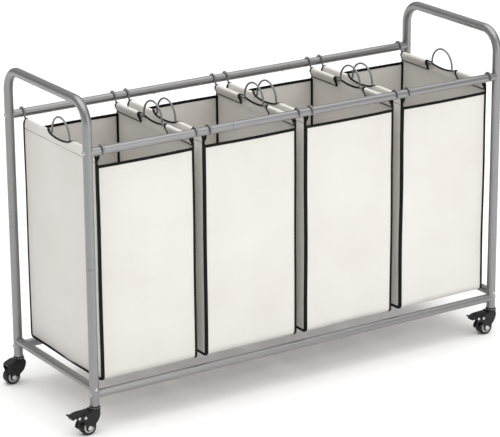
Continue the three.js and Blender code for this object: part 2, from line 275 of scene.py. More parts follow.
def bend(centre, radius, start, end, steps):
    """Points along an arc in the plane, from one angle in degrees to the other."""
    angle = np.radians(np.linspace(start, end, steps + 1))
    return np.stack([centre[0] + radius * np.cos(angle), centre[1] + radius * np.sin(angle)], 1)


def rod_along(line, x, radius, sides, ends="open"):
    """A round section carried along a line of (y, z) points in the plane at x. Each point's ring lies
    across the line there: radius * cos(angle) along X and radius * sin(angle) across the line."""
    step = np.gradient(line, axis=0)
    step /= np.linalg.norm(step, axis=1, keepdims=True)
    radii = np.full(len(line), radius)
    if ends == "round":
        tilt = np.radians(np.linspace(0, 75, 6))
        reach = radius * np.cos(tilt)[:, None]
        line = np.concatenate([line[0] - step[0] * reach, line[1:-1], (line[-1] + step[-1] * reach)[::-1]])
        radii = np.concatenate([radius * np.sin(tilt), radii[1:-1], radius * np.sin(tilt)[::-1]])
        step = np.concatenate([np.repeat(step[:1], 6, 0), step[1:-1], np.repeat(step[-1:], 6, 0)])
    angle = np.linspace(0, 2 * np.pi, sides + 1)
    across = np.stack([-step[:, 1], step[:, 0]], 1)
    ring_x = x + radii[:, None] * np.cos(angle)
    ring_yz = line[:, None] + (radii[:, None] * np.sin(angle))[..., None] * across[:, None]
    return np.concatenate([ring_x[..., None], ring_yz], 2)


POST_RADIUS = (post_high.x - post_low.x) / 2
POST_SIDES = 48
TUBE_WALL = 1.1 * MM
ARCH_BEND = 52 * MM
STRAIGHT_END = 50 * MM
FRONT_Y, REAR_Y = middle("leg_fl")[1], middle("leg_rl")[1]

for side in ("left", "right"):
    node = f"end_frame_{side}"
    low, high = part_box(node)
    bar = high.z - POST_RADIUS
    line = np.concatenate([
        [[FRONT_Y, low.z], [FRONT_Y, low.z + STRAIGHT_END]],
        bend((FRONT_Y + ARCH_BEND, bar - ARCH_BEND), ARCH_BEND, 180, 90, 20),
        bend((REAR_Y - ARCH_BEND, bar - ARCH_BEND), ARCH_BEND, 90, 0, 20),
        [[REAR_Y, low.z + STRAIGHT_END], [REAR_Y, low.z]],
    ])
    outside = rod_along(line, middle(node)[0], POST_RADIUS, POST_SIDES)
    bore = rod_along(line, middle(node)[0], POST_RADIUS - TUBE_WALL, POST_SIDES)[::-1]
    wall = skin(np.concatenate([outside, bore, outside[:1]]))
    piece(f"{node}_tube", [wall], powder_coat, "frame", [node])

# ---------------------------------------------------------------------------------------------------------
# Legs and their sleeves. A sleeve with a plain collar and two narrower necks joins each leg to the end frame
# above it. The rim of every cut tube is dressed to a small radius.

RIM = 0.55 * MM
AXES = {"x": (0, 1, 2), "y": (1, 0, 2), "z": (2, 0, 1)}


def turned(stations, axis, centre, sides, shape=None, low_end=0, high_end=0):
    """A profile of (distance along the axis, radius) stations carried round an axis through centre. shape
    multiplies each station's radius at each angle. low_end and high_end move the stations of the lower and
    upper half along the axis at each angle, so that an end can be cut to a saddle."""
    stations = np.asarray(stations, float)
    angle = np.linspace(0, 2 * np.pi, sides + 1)
    along = stations[:, :1] + np.zeros(sides + 1)
    lower = stations[:, 0] < stations[:, 0].mean()
    along = along + np.where(lower[:, None], low_end, high_end)
    radius = stations[:, 1:] * np.ones(sides + 1) * (1 if shape is None else shape)
    grid = np.empty(along.shape + (3,))
    main, first, second = AXES[axis]
    grid[..., main] = centre[main] + along
    grid[..., first] = centre[first] + radius * np.cos(angle)
    grid[..., second] = centre[second] + radius * np.sin(angle)
    return grid


def rounded_rim(end, radius, way, steps=3):
    """Stations round a rim: a quarter circle from the cut face at end to the tube's side."""
    turn = np.linspace(0, np.pi / 2, steps + 1)
    rim = np.stack([end + way * RIM * (1 - np.cos(turn)), radius - RIM + RIM * np.sin(turn)], 1)
    return rim if way > 0 else rim[::-1]


def tube_stations(low, high, radius, bore):
    """The closed section of a plain tube's wall, with its outer rims rounded."""
    rims = [rounded_rim(low, radius, 1), rounded_rim(high, radius, -1)]
    return np.concatenate([[[low, bore]], *rims, [[high, bore], [low, bore]]])


POST_BORE = POST_RADIUS - TUBE_WALL
NECK_GAP = 0.6 * MM
COLLAR_HALF = 12.35 * MM
NECK_LENGTH = 25 * MM

for corner in ("fl", "fr", "rl", "rr"):
    low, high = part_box(f"leg_{corner}")
    centre = np.array([*middle(f"leg_{corner}")[:2], 0])
    leg = turned(tube_stations(low.z, high.z, POST_RADIUS, POST_BORE), "z", centre, POST_SIDES)
    piece(f"leg_{corner}_tube", [skin(leg)], powder_coat, "frame", [f"leg_{corner}"])

    neck = POST_BORE - NECK_GAP
    bore = neck - TUBE_WALL
    foot, head = -COLLAR_HALF - NECK_LENGTH, COLLAR_HALF + NECK_LENGTH
    collar = np.concatenate([
        [[foot, bore], [foot, neck], [-COLLAR_HALF, neck]],
        rounded_rim(-COLLAR_HALF, POST_RADIUS, 1),
        rounded_rim(COLLAR_HALF, POST_RADIUS, -1),
        [[COLLAR_HALF, neck], [head, neck], [head, bore], [foot, bore]],
    ])
    node = f"post_sleeve_{corner}"
    sleeve = turned(collar, "z", middle(node), POST_SIDES)
    piece(f"{node}_collar", [skin(sleeve)], powder_coat, "frame", [node])

# ---------------------------------------------------------------------------------------------------------
# Side rails and long rails. Each rail's end is cut to a saddle that sits on the post. The long rails come in
# three lengths: the outer two have a drawn-down neck that slides into the middle one.

rail_low, rail_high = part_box("top_front_rail_middle")
RAIL_RADIUS = (rail_high.z - rail_low.z) / 2
RAIL_BORE = RAIL_RADIUS - TUBE_WALL
RAIL_SIDES = 40


def saddle():
    """How far a post's surface stands from its axis at each angle round a rail that meets it square:
    the square root of post radius squared less the sideways distance squared."""
    sideways = RAIL_RADIUS * np.cos(np.linspace(0, 2 * np.pi, RAIL_SIDES + 1))
    return np.sqrt(POST_RADIUS**2 - sideways**2)


for side in ("left", "right"):
    node = f"side_rail_{side}"
    x, _, z = middle(node)
    stations = [[FRONT_Y, RAIL_BORE], [FRONT_Y, RAIL_RADIUS], [REAR_Y, RAIL_RADIUS], [REAR_Y, RAIL_BORE],
                [FRONT_Y, RAIL_BORE]]
    rail = turned(stations, "y", (x, 0, z), RAIL_SIDES, low_end=saddle(), high_end=-saddle())
    piece(f"{node}_tube", [skin(rail)], powder_coat, "frame", [node])

LEFT_X, RIGHT_X = middle("leg_fl")[0], middle("leg_fr")[0]
SEAM_GAP = 0.3 * MM
NECK_ROOT = 3 * MM
ROWS = ("top_front", "top_rear", "bottom_front", "bottom_rear")

for row in ROWS:
    node = f"{row}_rail_middle"
    low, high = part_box(node)
    centre = np.array([0, *middle(node)[1:]])
    sleeve = turned(tube_stations(low.x, high.x, RAIL_RADIUS, RAIL_BORE), "x", centre, RAIL_SIDES)
    piece(f"{node}_tube", [skin(sleeve)], powder_coat, "frame", [node])
    outer_lengths = (("left", LEFT_X, low.x - SEAM_GAP, 1), ("right", RIGHT_X, high.x + SEAM_GAP, -1))
    for side, post, seam, way in outer_lengths:
        neck = RAIL_BORE - NECK_GAP
        tip = seam + way * NECK_LENGTH
        stations = np.concatenate([
            [[post, RAIL_BORE], [post, RAIL_RADIUS]],
            rounded_rim(seam, RAIL_RADIUS, -way)[::way],
            [[seam, neck], [tip, neck], [tip, neck - TUBE_WALL], [seam - way * NECK_ROOT, neck - TUBE_WALL],
             [post, RAIL_BORE]],
        ])
        ends = {"low_end": saddle()} if way > 0 else {"high_end": -saddle()}
        rail = turned(stations, "x", centre, RAIL_SIDES, **ends)
        node = f"{row}_rail_{side}"
        piece(f"{node}_tube", [skin(rail)], powder_coat, "frame", [node])

# ---------------------------------------------------------------------------------------------------------
# Bolts and snap buttons. Zinc-plated button-head bolts with a hexagon socket go through each post into the
# end of a rail. A sprung button in each rail's neck snaps through a hole under the middle length.

zinc = coated("bright_zinc", 260, (0.50, 0.50, 0.49), (0.62, 0.62, 0.605), 700, 0.03 * MM,
              low=0.35, high=0.65, Metallic=1.0, Roughness=0.24)
HEAD_RADIUS = 4.7 * MM
HEAD_HEIGHT = 2.9 * MM
HEAD_SUNK = 1.3 * MM
HEAD_DOME = 62
SOCKET_DEPTH = 1.6 * MM
SOCKET_SHARE = 0.86
SOCKET_CORNERS = 0.92
HEAD_SIDES = 24


def hexagon():
    """A hexagon's radius at each angle, as a share of the distance to its flats."""
    angle = np.linspace(0, 2 * np.pi, HEAD_SIDES + 1)
    return 1 / np.cos((angle + np.pi / 6) % (np.pi / 3) - np.pi / 6)


def button_head(axis, way, seat):
    """A dome with a hexagon socket, standing on its seat and facing along the axis, + or - as way says. The
    dome's profile is part of a quarter of an ellipse."""
    turn = np.radians(np.linspace(0, HEAD_DOME, 8))
    dome = np.stack([HEAD_HEIGHT * np.sin(turn), HEAD_RADIUS * np.cos(turn)], 1)
    top, rim = dome[-1]
    socket = SOCKET_SHARE * rim
    stations = np.concatenate([
        [[-HEAD_SUNK, 0], [-HEAD_SUNK, HEAD_RADIUS]],
        dome,
        [[top, socket], [top - SOCKET_DEPTH, socket], [top - SOCKET_DEPTH - 0.3 * MM, 0]],
    ])
    hexed = np.ones((len(stations), HEAD_SIDES + 1))
    hexed[-3:-1] = hexagon() * SOCKET_CORNERS
    main = AXES[axis][0]
    stations[:, 0] = seat[main] + way * stations[:, 0]
    centre = np.array(seat, float)
    centre[main] = 0
    return turned(stations, axis, centre, HEAD_SIDES, hexed)


bolts = []
for corner, way_x, way_y in (("fl", -1, -1), ("fr", 1, -1), ("rl", -1, 1), ("rr", 1, 1)):
    x, y, _ = middle(f"leg_{corner}")
    end_seat, face_seat = x + way_x * POST_RADIUS, y + way_y * POST_RADIUS
    for row in ("top", "bottom"):
        rail_z = middle(f"{row}_{'front' if way_y < 0 else 'rear'}_rail_middle")[2]
        bolts.append(skin(button_head("x", way_x, (end_seat, y, rail_z))))
    bolts.append(skin(button_head("y", way_y, (x, face_seat, middle("side_rail_left")[2]))))
piece("frame_bolts", bolts, zinc, "frame")

BUTTON_INSET = 15.5 * MM
BUTTON_RADIUS = 3.1 * MM
BUTTON_HEIGHT = 2.0 * MM
BUTTON_ROOT = 2.5 * MM
turn = np.radians(np.linspace(0, 90, 7))
dome = np.stack([-BUTTON_HEIGHT * np.sin(turn), BUTTON_RADIUS * np.cos(turn)], 1)
button = np.concatenate([[[BUTTON_ROOT, 0], [BUTTON_ROOT, BUTTON_RADIUS]], dome])
buttons = []
for row in ROWS:
    node = f"{row}_rail_middle"
    low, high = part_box(node)
    for x in (low.x + BUTTON_INSET, high.x - BUTTON_INSET):
        buttons.append(skin(turned(button, "z", (x, middle(node)[1], low.z), 20)))
piece("rail_snap_buttons", buttons, zinc, "frame")

# ---------------------------------------------------------------------------------------------------------
# Hangers. Each bag hangs on two wires of 4.8 mm steel with a dark grey dip coat. A wire hooks over the rear
# rail, runs through the bag's hem, rises in a loop for a handle and hooks over the front rail.

dipped_wire = coated("dipped_wire", 160, (0.205, 0.206, 0.208), (0.255, 0.257, 0.26), 500, 0.03 * MM,
                     low=0.35, high=0.65, Metallic=0.6, Specular_IOR_Level=0.5)
drive(dipped_wire, "Roughness", mottle(dipped_wire, 60), grey(0.32), grey(0.45))

TOP_RAIL_Z = middle("top_front_rail_middle")[2]
WIRE_RADIUS = 2.4 * MM
LOOP_RADIUS = 41 * MM
FOOT_BEND = 6 * MM
FOOT_LEAN = 60
BACK_BEND = 10 * MM
CORNER_BEND = 7 * MM
HOOK_BEND = RAIL_RADIUS + WIRE_RADIUS + 0.3 * MM
HOOK_DROP = 4 * MM
WIRE_Z = TOP_RAIL_Z - 12.7 * MM
lean_rise, lean_run = math.sin(math.radians(FOOT_LEAN)), math.cos(math.radians(FOOT_LEAN))
loop_foot_y = LOOP_RADIUS + FOOT_BEND
loop_foot_z = WIRE_Z + FOOT_BEND * lean_rise - BACK_BEND * (1 - lean_rise)
back_y = loop_foot_y + (FOOT_BEND + BACK_BEND) * lean_run
corner_y = REAR_Y - HOOK_BEND - CORNER_BEND

half_wire = np.concatenate([
    bend((0, loop_foot_z), LOOP_RADIUS, 90, 0, 22),
    bend((loop_foot_y, loop_foot_z), FOOT_BEND, 180, 360 - FOOT_LEAN, 10)[1:],
    bend((back_y, WIRE_Z - BACK_BEND), BACK_BEND, 90 + (90 - FOOT_LEAN), 90, 5)[1:],
    bend((corner_y, WIRE_Z + CORNER_BEND), CORNER_BEND, 270, 360, 10),
    bend((REAR_Y, TOP_RAIL_Z), HOOK_BEND, 180, 0, 22),
    [[REAR_Y + HOOK_BEND, TOP_RAIL_Z - HOOK_DROP]],
])
whole_wire = np.concatenate([half_wire[:0:-1] * (-1, 1), half_wire])

for number in (1, 2, 3, 4):
    for side in ("left", "right"):
        node = f"bag_{number}_hanger_{side}"
        wire = skin(rod_along(whole_wire, middle(node)[0], WIRE_RADIUS, 16, "round"), caps=True)
        piece(f"{node}_wire", [wire], dipped_wire, f"bag_{number}_hung", [node])

# ---------------------------------------------------------------------------------------------------------
# Bags. Each is sewn from off-white canvas: one strip makes the front, the bottom and the back, and two side
# panels close it. A side panel's top is folded in over the hanger's wire and stitched down as a hem, which is
# cut away in the middle, so that the loop can stand up. The cloth sags between its sewn edges.

canvas = surface("canvas", Roughness=0.9, Sheen_Weight=0.25, Sheen_Roughness=0.5, Specular_IOR_Level=0.25)
drive(canvas, "Base Color", mottle(canvas, 5, detail=4.0), (0.795, 0.764, 0.714), (0.850, 0.825, 0.782))
THREAD_PITCH = 0.9 * MM


def reckon(made, operation, first, second=0):
    """A number worked out from one or two others, of which either may be an output of another node."""
    node = made.node_tree.nodes.new("ShaderNodeMath")
    node.operation = operation
    made.node_tree.links.new(first, node.inputs[0])
    if isinstance(second, bpy.types.NodeSocket):
        made.node_tree.links.new(second, node.inputs[1])
    elif operation == "MULTIPLY":
        node.inputs[1].default_value = second
    return node.outputs[0]


def weave(made, pitch):
    """A plain weave in the cloth's own flat coordinates: sin(u) * sin(v) of two threads to the pitch."""
    place = made.node_tree.nodes.new("ShaderNodeTexCoord").outputs["UV"]
    split = add_node(made, "ShaderNodeSeparateXYZ", Vector=place)
    waves = []
    for axis in ("X", "Y"):
        turn = reckon(made, "MULTIPLY", split.outputs[axis], 2 * math.pi / pitch)
        waves.append(reckon(made, "SINE", turn))
    return reckon(made, "MULTIPLY", *waves)


slubs = relief(canvas, mottle(canvas, 90, stretch=(1, 6, 1), source="UV"), 0.0003)
relief(canvas, weave(canvas, THREAD_PITCH), 0.00012, slubs)

CLOTH = 1.2 * MM
bag_low, bag_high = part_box("bag_1")
HALF_WIDTH = (bag_high.x - bag_low.x) / 2
HALF_DEPTH = (bag_high.y - bag_low.y) / 2
BOTTOM_Z = bag_low.z
HEM_TOP_Z = bag_high.z
PANEL_TOP_Z = HEM_TOP_Z - 30 * MM
STITCH_Z = HEM_TOP_Z - 25 * MM
FOLD_BEND = 10 * MM
NOTCH_HALF = 59.3 * MM
SCALLOP_RADIUS = 200 * MM
SCALLOP_DEPTH = 9 * MM
HEM_END = 166 * MM
LEAN_Z = HEM_TOP_Z - 12 * MM
SEAM_ROLL = 4.4 * MM
CLOTH_STEP = 8.5 * MM
HEM_ROWS = 14
NOTCH_ROWS = 17
RISE_STEPS = 62
STITCH_RISE = (-3, 0, 3, 9)
OVER_STEPS = 5
STITCH_COLUMN = RISE_STEPS + 1
ROLL_COLUMN = RISE_STEPS + 3
TOP_COLUMN = RISE_STEPS + len(STITCH_RISE) + OVER_STEPS + 1


def eased(value, start, end):
    """0 before start, 1 after end, and smooth between them."""
    share = np.clip((value - start) / (end - start), 0, 1)
    return share * share * (3 - 2 * share)


def waver(points, phases):
    """Small wanderings that the sewn edges share with everything sewn to them: three slow waves, under a
    millimetre high, that die away where the hem is held straight by its wire."""
    held = 1 - eased(points[..., 2], STITCH_Z - 0.12, STITCH_Z - 0.01)
    moved = points.copy()
    for axis in range(3):
        a, b, c = phases[axis]
        wave = np.sin(points[..., 2] / 0.055 + a) + np.sin(points[..., 0] / 0.04 + points[..., 1] / 0.07 + b)
        moved[..., axis] += 0.00045 * held * (wave + np.sin(points[..., 1] / 0.05 + c))
    return moved


def bellied(across, along, phases):
    """How far slack cloth stands out between its sewn edges, with both shares from 0 to 1: a broad belly, the
    sine of across times a rise and fall along, and slanting folds that fade out towards the edges."""
    a, b, c = phases[0]
    hold = (np.sin(np.pi * across) * np.sin(np.pi * along) ** 0.5).clip(0)
    belly = 3.4 * hold * (0.8 + 0.35 * along)
    fold = np.sin(9 * across + 5 * along + a) + 0.7 * np.sin(4 * across - 11 * along + b)
    fold += 0.8 * np.sin(15 * across + 2.5 * along + c)
    return MM * (belly + 0.5 * hold * fold)


def strip_line():
    """The strip's way from the front's top edge down, under the bag and up the back, as (y, z)."""
    y, z = HALF_DEPTH - CLOTH / 2, BOTTOM_Z + CLOTH / 2
    upright = np.linspace(PANEL_TOP_Z, z + FOLD_BEND, int((PANEL_TOP_Z - z) / CLOTH_STEP))
    under = np.linspace(-y + FOLD_BEND, y - FOLD_BEND, int(2 * y / CLOTH_STEP))
    return np.concatenate([
        np.stack([np.full_like(upright, -y), upright], 1),
        bend((-y + FOLD_BEND, z + FOLD_BEND), FOLD_BEND, 180, 270, 4)[1:-1],
        np.stack([under, np.full_like(under, z)], 1),
        bend((y - FOLD_BEND, z + FOLD_BEND), FOLD_BEND, 270, 360, 4)[1:-1],
        np.stack([np.full_like(upright, y), upright[::-1]], 1),
    ])


def strip_cloth(centre_x, phases):
    """The front, bottom and back: the strip's line repeated across the width, and bellied outwards."""
    line = strip_line()
    width = np.linspace(-1, 1, 31) * (HALF_WIDTH - CLOTH / 2)
    grid = np.empty((len(line), len(width), 3))
    grid[..., 0] = width
    grid[..., 1:] = line[:, None]
    across = (width / (width[-1] - width[0]) + 0.5)[None]
    up = ((PANEL_TOP_Z - line[:, 1]) / (PANEL_TOP_Z - BOTTOM_Z)).clip(0, 1)[:, None]
    upright = np.abs(line[:, :1]) > HALF_DEPTH - CLOTH
    out = bellied(across, 0.03 + 0.94 * up, phases) * upright + 2.2 * MM * np.sin(np.pi * across) * upright
    grid[..., 1] += np.sign(line[:, :1]) * out
    length = np.concatenate([[0], np.cumsum(np.linalg.norm(np.diff(line, axis=0), axis=1))])
    under = (~upright[:, 0]) & (np.abs(line[:, 0]) < HALF_DEPTH - FOLD_BEND)
    grid[under, :, 2] -= 3.5 * MM * np.sin(np.pi * across) * np.cos(
        0.5 * np.pi * line[under, :1] / (HALF_DEPTH - FOLD_BEND)
    )
    uv = np.stack(np.broadcast_arrays(width[None], length[:, None]), 2)
    grid = waver(grid, phases)
    grid[..., 0] += centre_x
    return grid, uv


def scallop(y):
    """The height of the hem's outer layer: level, then dipping along an arc of the scallop's radius."""
    dip = SCALLOP_DEPTH - SCALLOP_RADIUS + np.sqrt(SCALLOP_RADIUS**2 - np.minimum(np.abs(y), NOTCH_HALF) ** 2)
    return HEM_TOP_Z - CLOTH / 2 - dip


def side_cloth(centre_x, way, phases):
    """One side panel with its hem. Rows run from front to rear and columns go up the outside, over the wire
    and down the inside to the stitching. In the middle the outside stands up flat, to the scallop's edge."""
    outer = np.linspace(HALF_DEPTH - CLOTH / 2, NOTCH_HALF, HEM_ROWS)
    y = np.concatenate([-outer, np.linspace(-NOTCH_HALF, NOTCH_HALF, NOTCH_ROWS)[1:-1], outer[::-1]])
    plane = HALF_WIDTH - CLOTH / 2
    low = BOTTOM_Z + CLOTH / 2
    rise = np.linspace(low, STITCH_Z - 6 * MM, RISE_STEPS)
    rise = np.concatenate([rise, STITCH_Z + MM * np.array(STITCH_RISE)])
    roll_x, roll_z = plane - SEAM_ROLL, HEM_TOP_Z - SEAM_ROLL - CLOTH / 2
    over = bend((roll_x, roll_z), SEAM_ROLL, 0, 90, OVER_STEPS)
    down = bend((roll_x, roll_z), SEAM_ROLL, 90, 180, OVER_STEPS)[1:]
    fall = np.linspace(0, 1, 7)[1:]
    sewn_x = plane - CLOTH
    inside = np.stack([
        roll_x - SEAM_ROLL + (sewn_x - roll_x + SEAM_ROLL) * eased(fall, 0, 1),
        roll_z + (STITCH_Z - roll_z) * fall,
    ], 1)
    rolled = np.concatenate([np.stack([np.full_like(rise, plane), rise], 1), over, down, inside])
    rolling = slice(len(rise), TOP_COLUMN)
    profile = np.repeat(rolled[None], len(y), 0)
    flat = np.linspace(0, 1, len(over) + 1)[1:]
    stand = rise[-1] + (scallop(y)[:, None] - rise[-1]) * flat
    rolls = eased(np.abs(y), NOTCH_HALF - 14 * MM, NOTCH_HALF - 1 * MM)[:, None]
    profile[:, rolling, 0] = plane + (profile[:, rolling, 0] - plane) * rolls
    profile[:, rolling, 1] = stand + (profile[:, rolling, 1] - stand) * rolls
    grid = np.empty((len(y), len(rolled), 3))
    z = profile[..., 1]
    reach = HALF_DEPTH - CLOTH / 2 + (HEM_END - HALF_DEPTH) * eased(z, LEAN_Z, HEM_TOP_Z - 1 * MM)
    inner_y = HALF_DEPTH - 40 * MM
    outer_share = (np.abs(y)[:, None] - inner_y).clip(0) / (HALF_DEPTH - CLOTH / 2 - inner_y)
    grid[..., 1] = np.sign(y)[:, None] * (
        np.minimum(np.abs(y)[:, None], inner_y) + outer_share * (reach - inner_y)
    )
    grid[..., 2] = z
    off = np.stack([np.abs(grid[..., 1]) - (HALF_DEPTH - CLOTH / 2 - FOLD_BEND), low + FOLD_BEND - z], 2)
    off = off.clip(0)
    rounding = off.max(2) / np.hypot(off[..., 0], off[..., 1]).clip(1e-9)
    corner = off.min(2) > 0
    grid[..., 1] -= np.where(corner, np.sign(grid[..., 1]) * off[..., 0] * (1 - rounding), 0)
    grid[..., 2] += np.where(corner, off[..., 1] * (1 - rounding), 0)
    across = (y / (2 * HALF_DEPTH) + 0.5)[:, None]
    up = ((STITCH_Z - 4 * MM - z) / (STITCH_Z - BOTTOM_Z)).clip(0, 1)
    pinch = 0.5 * MM * np.exp(-(((z - STITCH_Z) / (2.5 * MM)) ** 2))
    pinch[:, TOP_COLUMN:] = 0
    grid[..., 0] = profile[..., 0] + bellied(across, up, phases[::-1]) - pinch
    lengths = np.linalg.norm(np.diff(rolled, axis=0), axis=1)
    uv = np.stack(np.broadcast_arrays(y[:, None], np.concatenate([[0], np.cumsum(lengths)])[None]), 2)
    grid[..., 0] *= way
    grid = waver(grid, phases)
    grid[..., 0] += centre_x
    return grid, uv


def hung_panel(name, made, bag):
    """Finishes a flat-cut panel, which rides on the bag: its surface is given the canvas's thickness."""
    panel = piece(name, [made], canvas, f"{bag}_hung", [bag], sharp=60, hard=False)
    wall = panel.modifiers.new("canvas", "SOLIDIFY")
    wall.thickness = CLOTH
    wall.offset = 0


bag_phases = random.uniform(0, 2 * np.pi, (4, 3, 3))
strips, sides = {}, {}
for number in (1, 2, 3, 4):
    bag = f"bag_{number}"
    centre_x = middle(bag)[0]
    phases = bag_phases[number - 1]
    strips[bag], uv = strip_cloth(centre_x, phases)
    strip = skin(strips[bag], uv, outward=-1)
    hung_panel(f"{bag}_front_bottom_back", strip, bag)
    for side, way in (("left", -1), ("right", 1)):
        grid, uv = side_cloth(centre_x, way, phases)
        sides[bag, side] = grid
        points, faces, spread = skin(grid, uv, outward=way)
        strips_up = grid.shape[1] - 1
        row_y = np.abs(grid[:-1, 0, 1] + grid[1:, 0, 1]) / 2
        kept = [face for k, face in enumerate(faces)
                if k % strips_up < TOP_COLUMN - 1 or row_y[k // strips_up] > NOTCH_HALF]
        height = float(uv[0, -1, 1])
        hung_panel(f"{bag}_side_{side}", (points, kept, spread), bag)

# ---------------------------------------------------------------------------------------------------------
# Bindings. Black woven tape is folded over every cut edge of the canvas and over the seams between the strip
# and the side panels, inside and out. The narrow tape on the lower edge of each hem's inner fold is partly
# painted shadow: its dark line also stands for the shade under the fold.

binding_tape = surface("binding_tape", Roughness=0.8, Sheen_Weight=0.04, Specular_IOR_Level=0.15)
drive(binding_tape, "Base Color", mottle(binding_tape, 120), grey(0.004), (0.010, 0.010, 0.009))
RIB_PITCH = 1.1 * MM
relief(binding_tape, weave(binding_tape, RIB_PITCH), 0.0001)

TAPE = 0.9 * MM
BEDDED = 0.25 * MM
SEAM_SIDE_LEG = 6.2 * MM
SEAM_STRIP_LEG = 5.6 * MM
INNER_LEG = 5.2 * MM
EDGE_DEPTH = 6 * MM
SCALLOP_TAPE = 3.4 * MM
NOTCH_TAPE = 5.2 * MM
ROLL_END_TAPE = 4.5 * MM
# Depth of the black tape on the hem fold's lower edge; its thin dark line is partly painted shadow under the
# fold.
FOLD_SHADOW_TAPE = 1.8 * MM


def unit(vectors):
    return vectors / np.linalg.norm(vectors, axis=-1, keepdims=True)


def section_along(origin, first, second, section):
    """A closed flat section carried along a line: origin + first * u + second * v at every point of it."""
    section = np.concatenate([section, section[..., :1, :]], axis=-2)
    grid = origin[:, None] + first[:, None] * section[..., 0:1] + second[:, None] * section[..., 1:2]
    length = np.concatenate([[0], np.cumsum(np.linalg.norm(np.diff(origin, axis=0), axis=1))])
    turn = np.broadcast_to(section, grid.shape[:2] + (2,))
    girth = np.concatenate([np.zeros((len(grid), 1)), np.linalg.norm(np.diff(turn, axis=1), axis=2)], 1)
    uv = np.stack([np.cumsum(girth, 1), np.repeat(length[:, None], grid.shape[1], 1)], 2)
    return skin(grid, uv, caps=True)


def folded_tape(edge, inner, depth):
    """Tape folded over a cut edge, reaching depth down both faces of the cloth. inner holds a point of the
    cloth inside each point of the edge; the fold is half a circle."""
    into = unit(inner - edge)
    face = unit(np.cross(np.gradient(edge, axis=0), into))
    half = CLOTH / 2 + TAPE
    fold = bend((0, -TAPE / 2), half, 0, 180, 6) * (1, 0.8)
    hem = CLOTH / 2 - BEDDED
    thin = half - 0.3 * TAPE
    section = np.concatenate([
        [[half, -depth * 0.5]], fold, [[-half, -depth * 0.5], [-thin, -depth], [-hem, -depth]],
        [[-hem, -BEDDED], [hem, -BEDDED], [hem, -depth], [thin, -depth]],
    ])
    return section_along(edge, face, -into, section)


def seam_line():
    """The way of a side panel's sewn edge: down the front, under the bag and up the back, as (y, z)."""
    upright = np.linspace(HEM_TOP_Z - 7 * MM, BOTTOM_Z + FOLD_BEND, 70)
    reach = HALF_DEPTH + (HEM_END - HALF_DEPTH) * eased(upright, LEAN_Z, HEM_TOP_Z - 1 * MM)
    under = np.linspace(-HALF_DEPTH + FOLD_BEND, HALF_DEPTH - FOLD_BEND, 40)
    return np.concatenate([
        np.stack([-reach, upright], 1),
        bend((-HALF_DEPTH + FOLD_BEND, BOTTOM_Z + FOLD_BEND), FOLD_BEND, 180, 270, 6)[1:-1],
        np.stack([under, np.full_like(under, BOTTOM_Z)], 1),
        bend((HALF_DEPTH - FOLD_BEND, BOTTOM_Z + FOLD_BEND), FOLD_BEND, 270, 360, 6)[1:-1],
        np.stack([reach, upright], 1)[::-1],
    ])


def seam_tape(centre_x, way, phases, inside):
    """Tape folded round the seam: an L in section, one leg on the side panel and one on the strip. Above the
    strip's top edge the second leg only turns over the side panel's own edge."""
    line = seam_line()
    if inside:
        line = line[np.abs(line[:, 1]) < PANEL_TOP_Z]
    step = unit(np.gradient(line, axis=0))
    origin = np.stack([np.full(len(line), way * HALF_WIDTH), line[:, 0], line[:, 1]], 1)
    away = np.stack([np.zeros(len(line)), step[:, 1], -step[:, 0]], 1)
    outward = np.zeros_like(origin)
    outward[:, 0] = way
    if inside:
        near, far = -CLOTH + BEDDED, -CLOTH - TAPE
        section = np.array([[near, near], [-INNER_LEG, near], [-INNER_LEG, far], [far - TAPE, far],
                            [far, far - TAPE], [far, -INNER_LEG], [near, -INNER_LEG]])
        section = np.repeat(section[None], len(line), 0)
    else:
        arc = bend((0, 0), TAPE, 0, 90, 4)
        section = np.concatenate([
            [[-BEDDED, -BEDDED], [-BEDDED, -SEAM_STRIP_LEG], [0.7 * TAPE, -SEAM_STRIP_LEG],
             [TAPE, -SEAM_STRIP_LEG + TAPE]],
            arc,
            [[-SEAM_SIDE_LEG + TAPE, TAPE], [-SEAM_SIDE_LEG, 0.7 * TAPE], [-SEAM_SIDE_LEG, -BEDDED]],
        ])
        section = np.repeat(section[None], len(line), 0)
        short = eased(line[:, 1], PANEL_TOP_Z - 2 * MM, PANEL_TOP_Z + 5 * MM)[:, None]
        leg = section[:, 1:4, 1]
        section[:, 1:4, 1] = leg + (np.maximum(leg, -CLOTH - TAPE) - leg) * short
    points, faces, uv = section_along(origin, away, outward, section)
    points = waver(points, phases) + (centre_x, 0, 0)
    return points, faces, uv


for number in (1, 2, 3, 4):
    bag = f"bag_{number}"
    centre_x = middle(bag)[0]
    phases = bag_phases[number - 1]
    strip = strips[bag]
    tapes = [folded_tape(strip[0], strip[1], EDGE_DEPTH), folded_tape(strip[-1], strip[-2], EDGE_DEPTH)]
    for side, way in (("left", -1), ("right", 1)):
        tapes.append(seam_tape(centre_x, way, phases, inside=False))
        tapes.append(seam_tape(centre_x, way, phases, inside=True))
        grid = sides[bag, side]
        front, rear = HEM_ROWS - 1, len(grid) - HEM_ROWS
        edge = TOP_COLUMN - 1
        tapes.append(folded_tape(grid[front:rear + 1, edge], grid[front:rear + 1, edge - 1], SCALLOP_TAPE))
        tapes.append(folded_tape(grid[front, edge:], grid[front - 1, edge:], NOTCH_TAPE))
        tapes.append(folded_tape(grid[rear, edge:], grid[rear + 1, edge:], NOTCH_TAPE))
        for end, inner in ((0, 1), (-1, -2)):
            tapes.append(folded_tape(grid[end, ROLL_COLUMN:], grid[inner, ROLL_COLUMN:], ROLL_END_TAPE))
        # Tape on the lower edge of the hem's inner fold: a real bound edge, and its black line is partly
        # painted shadow under the fold.
        tapes.append(folded_tape(grid[:front + 1, -1], grid[:front + 1, -2], FOLD_SHADOW_TAPE))
        tapes.append(folded_tape(grid[rear:, -1], grid[rear:, -2], FOLD_SHADOW_TAPE))
    piece(f"{bag}_bindings", tapes, binding_tape, f"{bag}_hung")

# ---------------------------------------------------------------------------------------------------------
# Stitching. A row of brown thread holds each hem down. Every stitch is a short spindle, half sunk in the
# cloth.

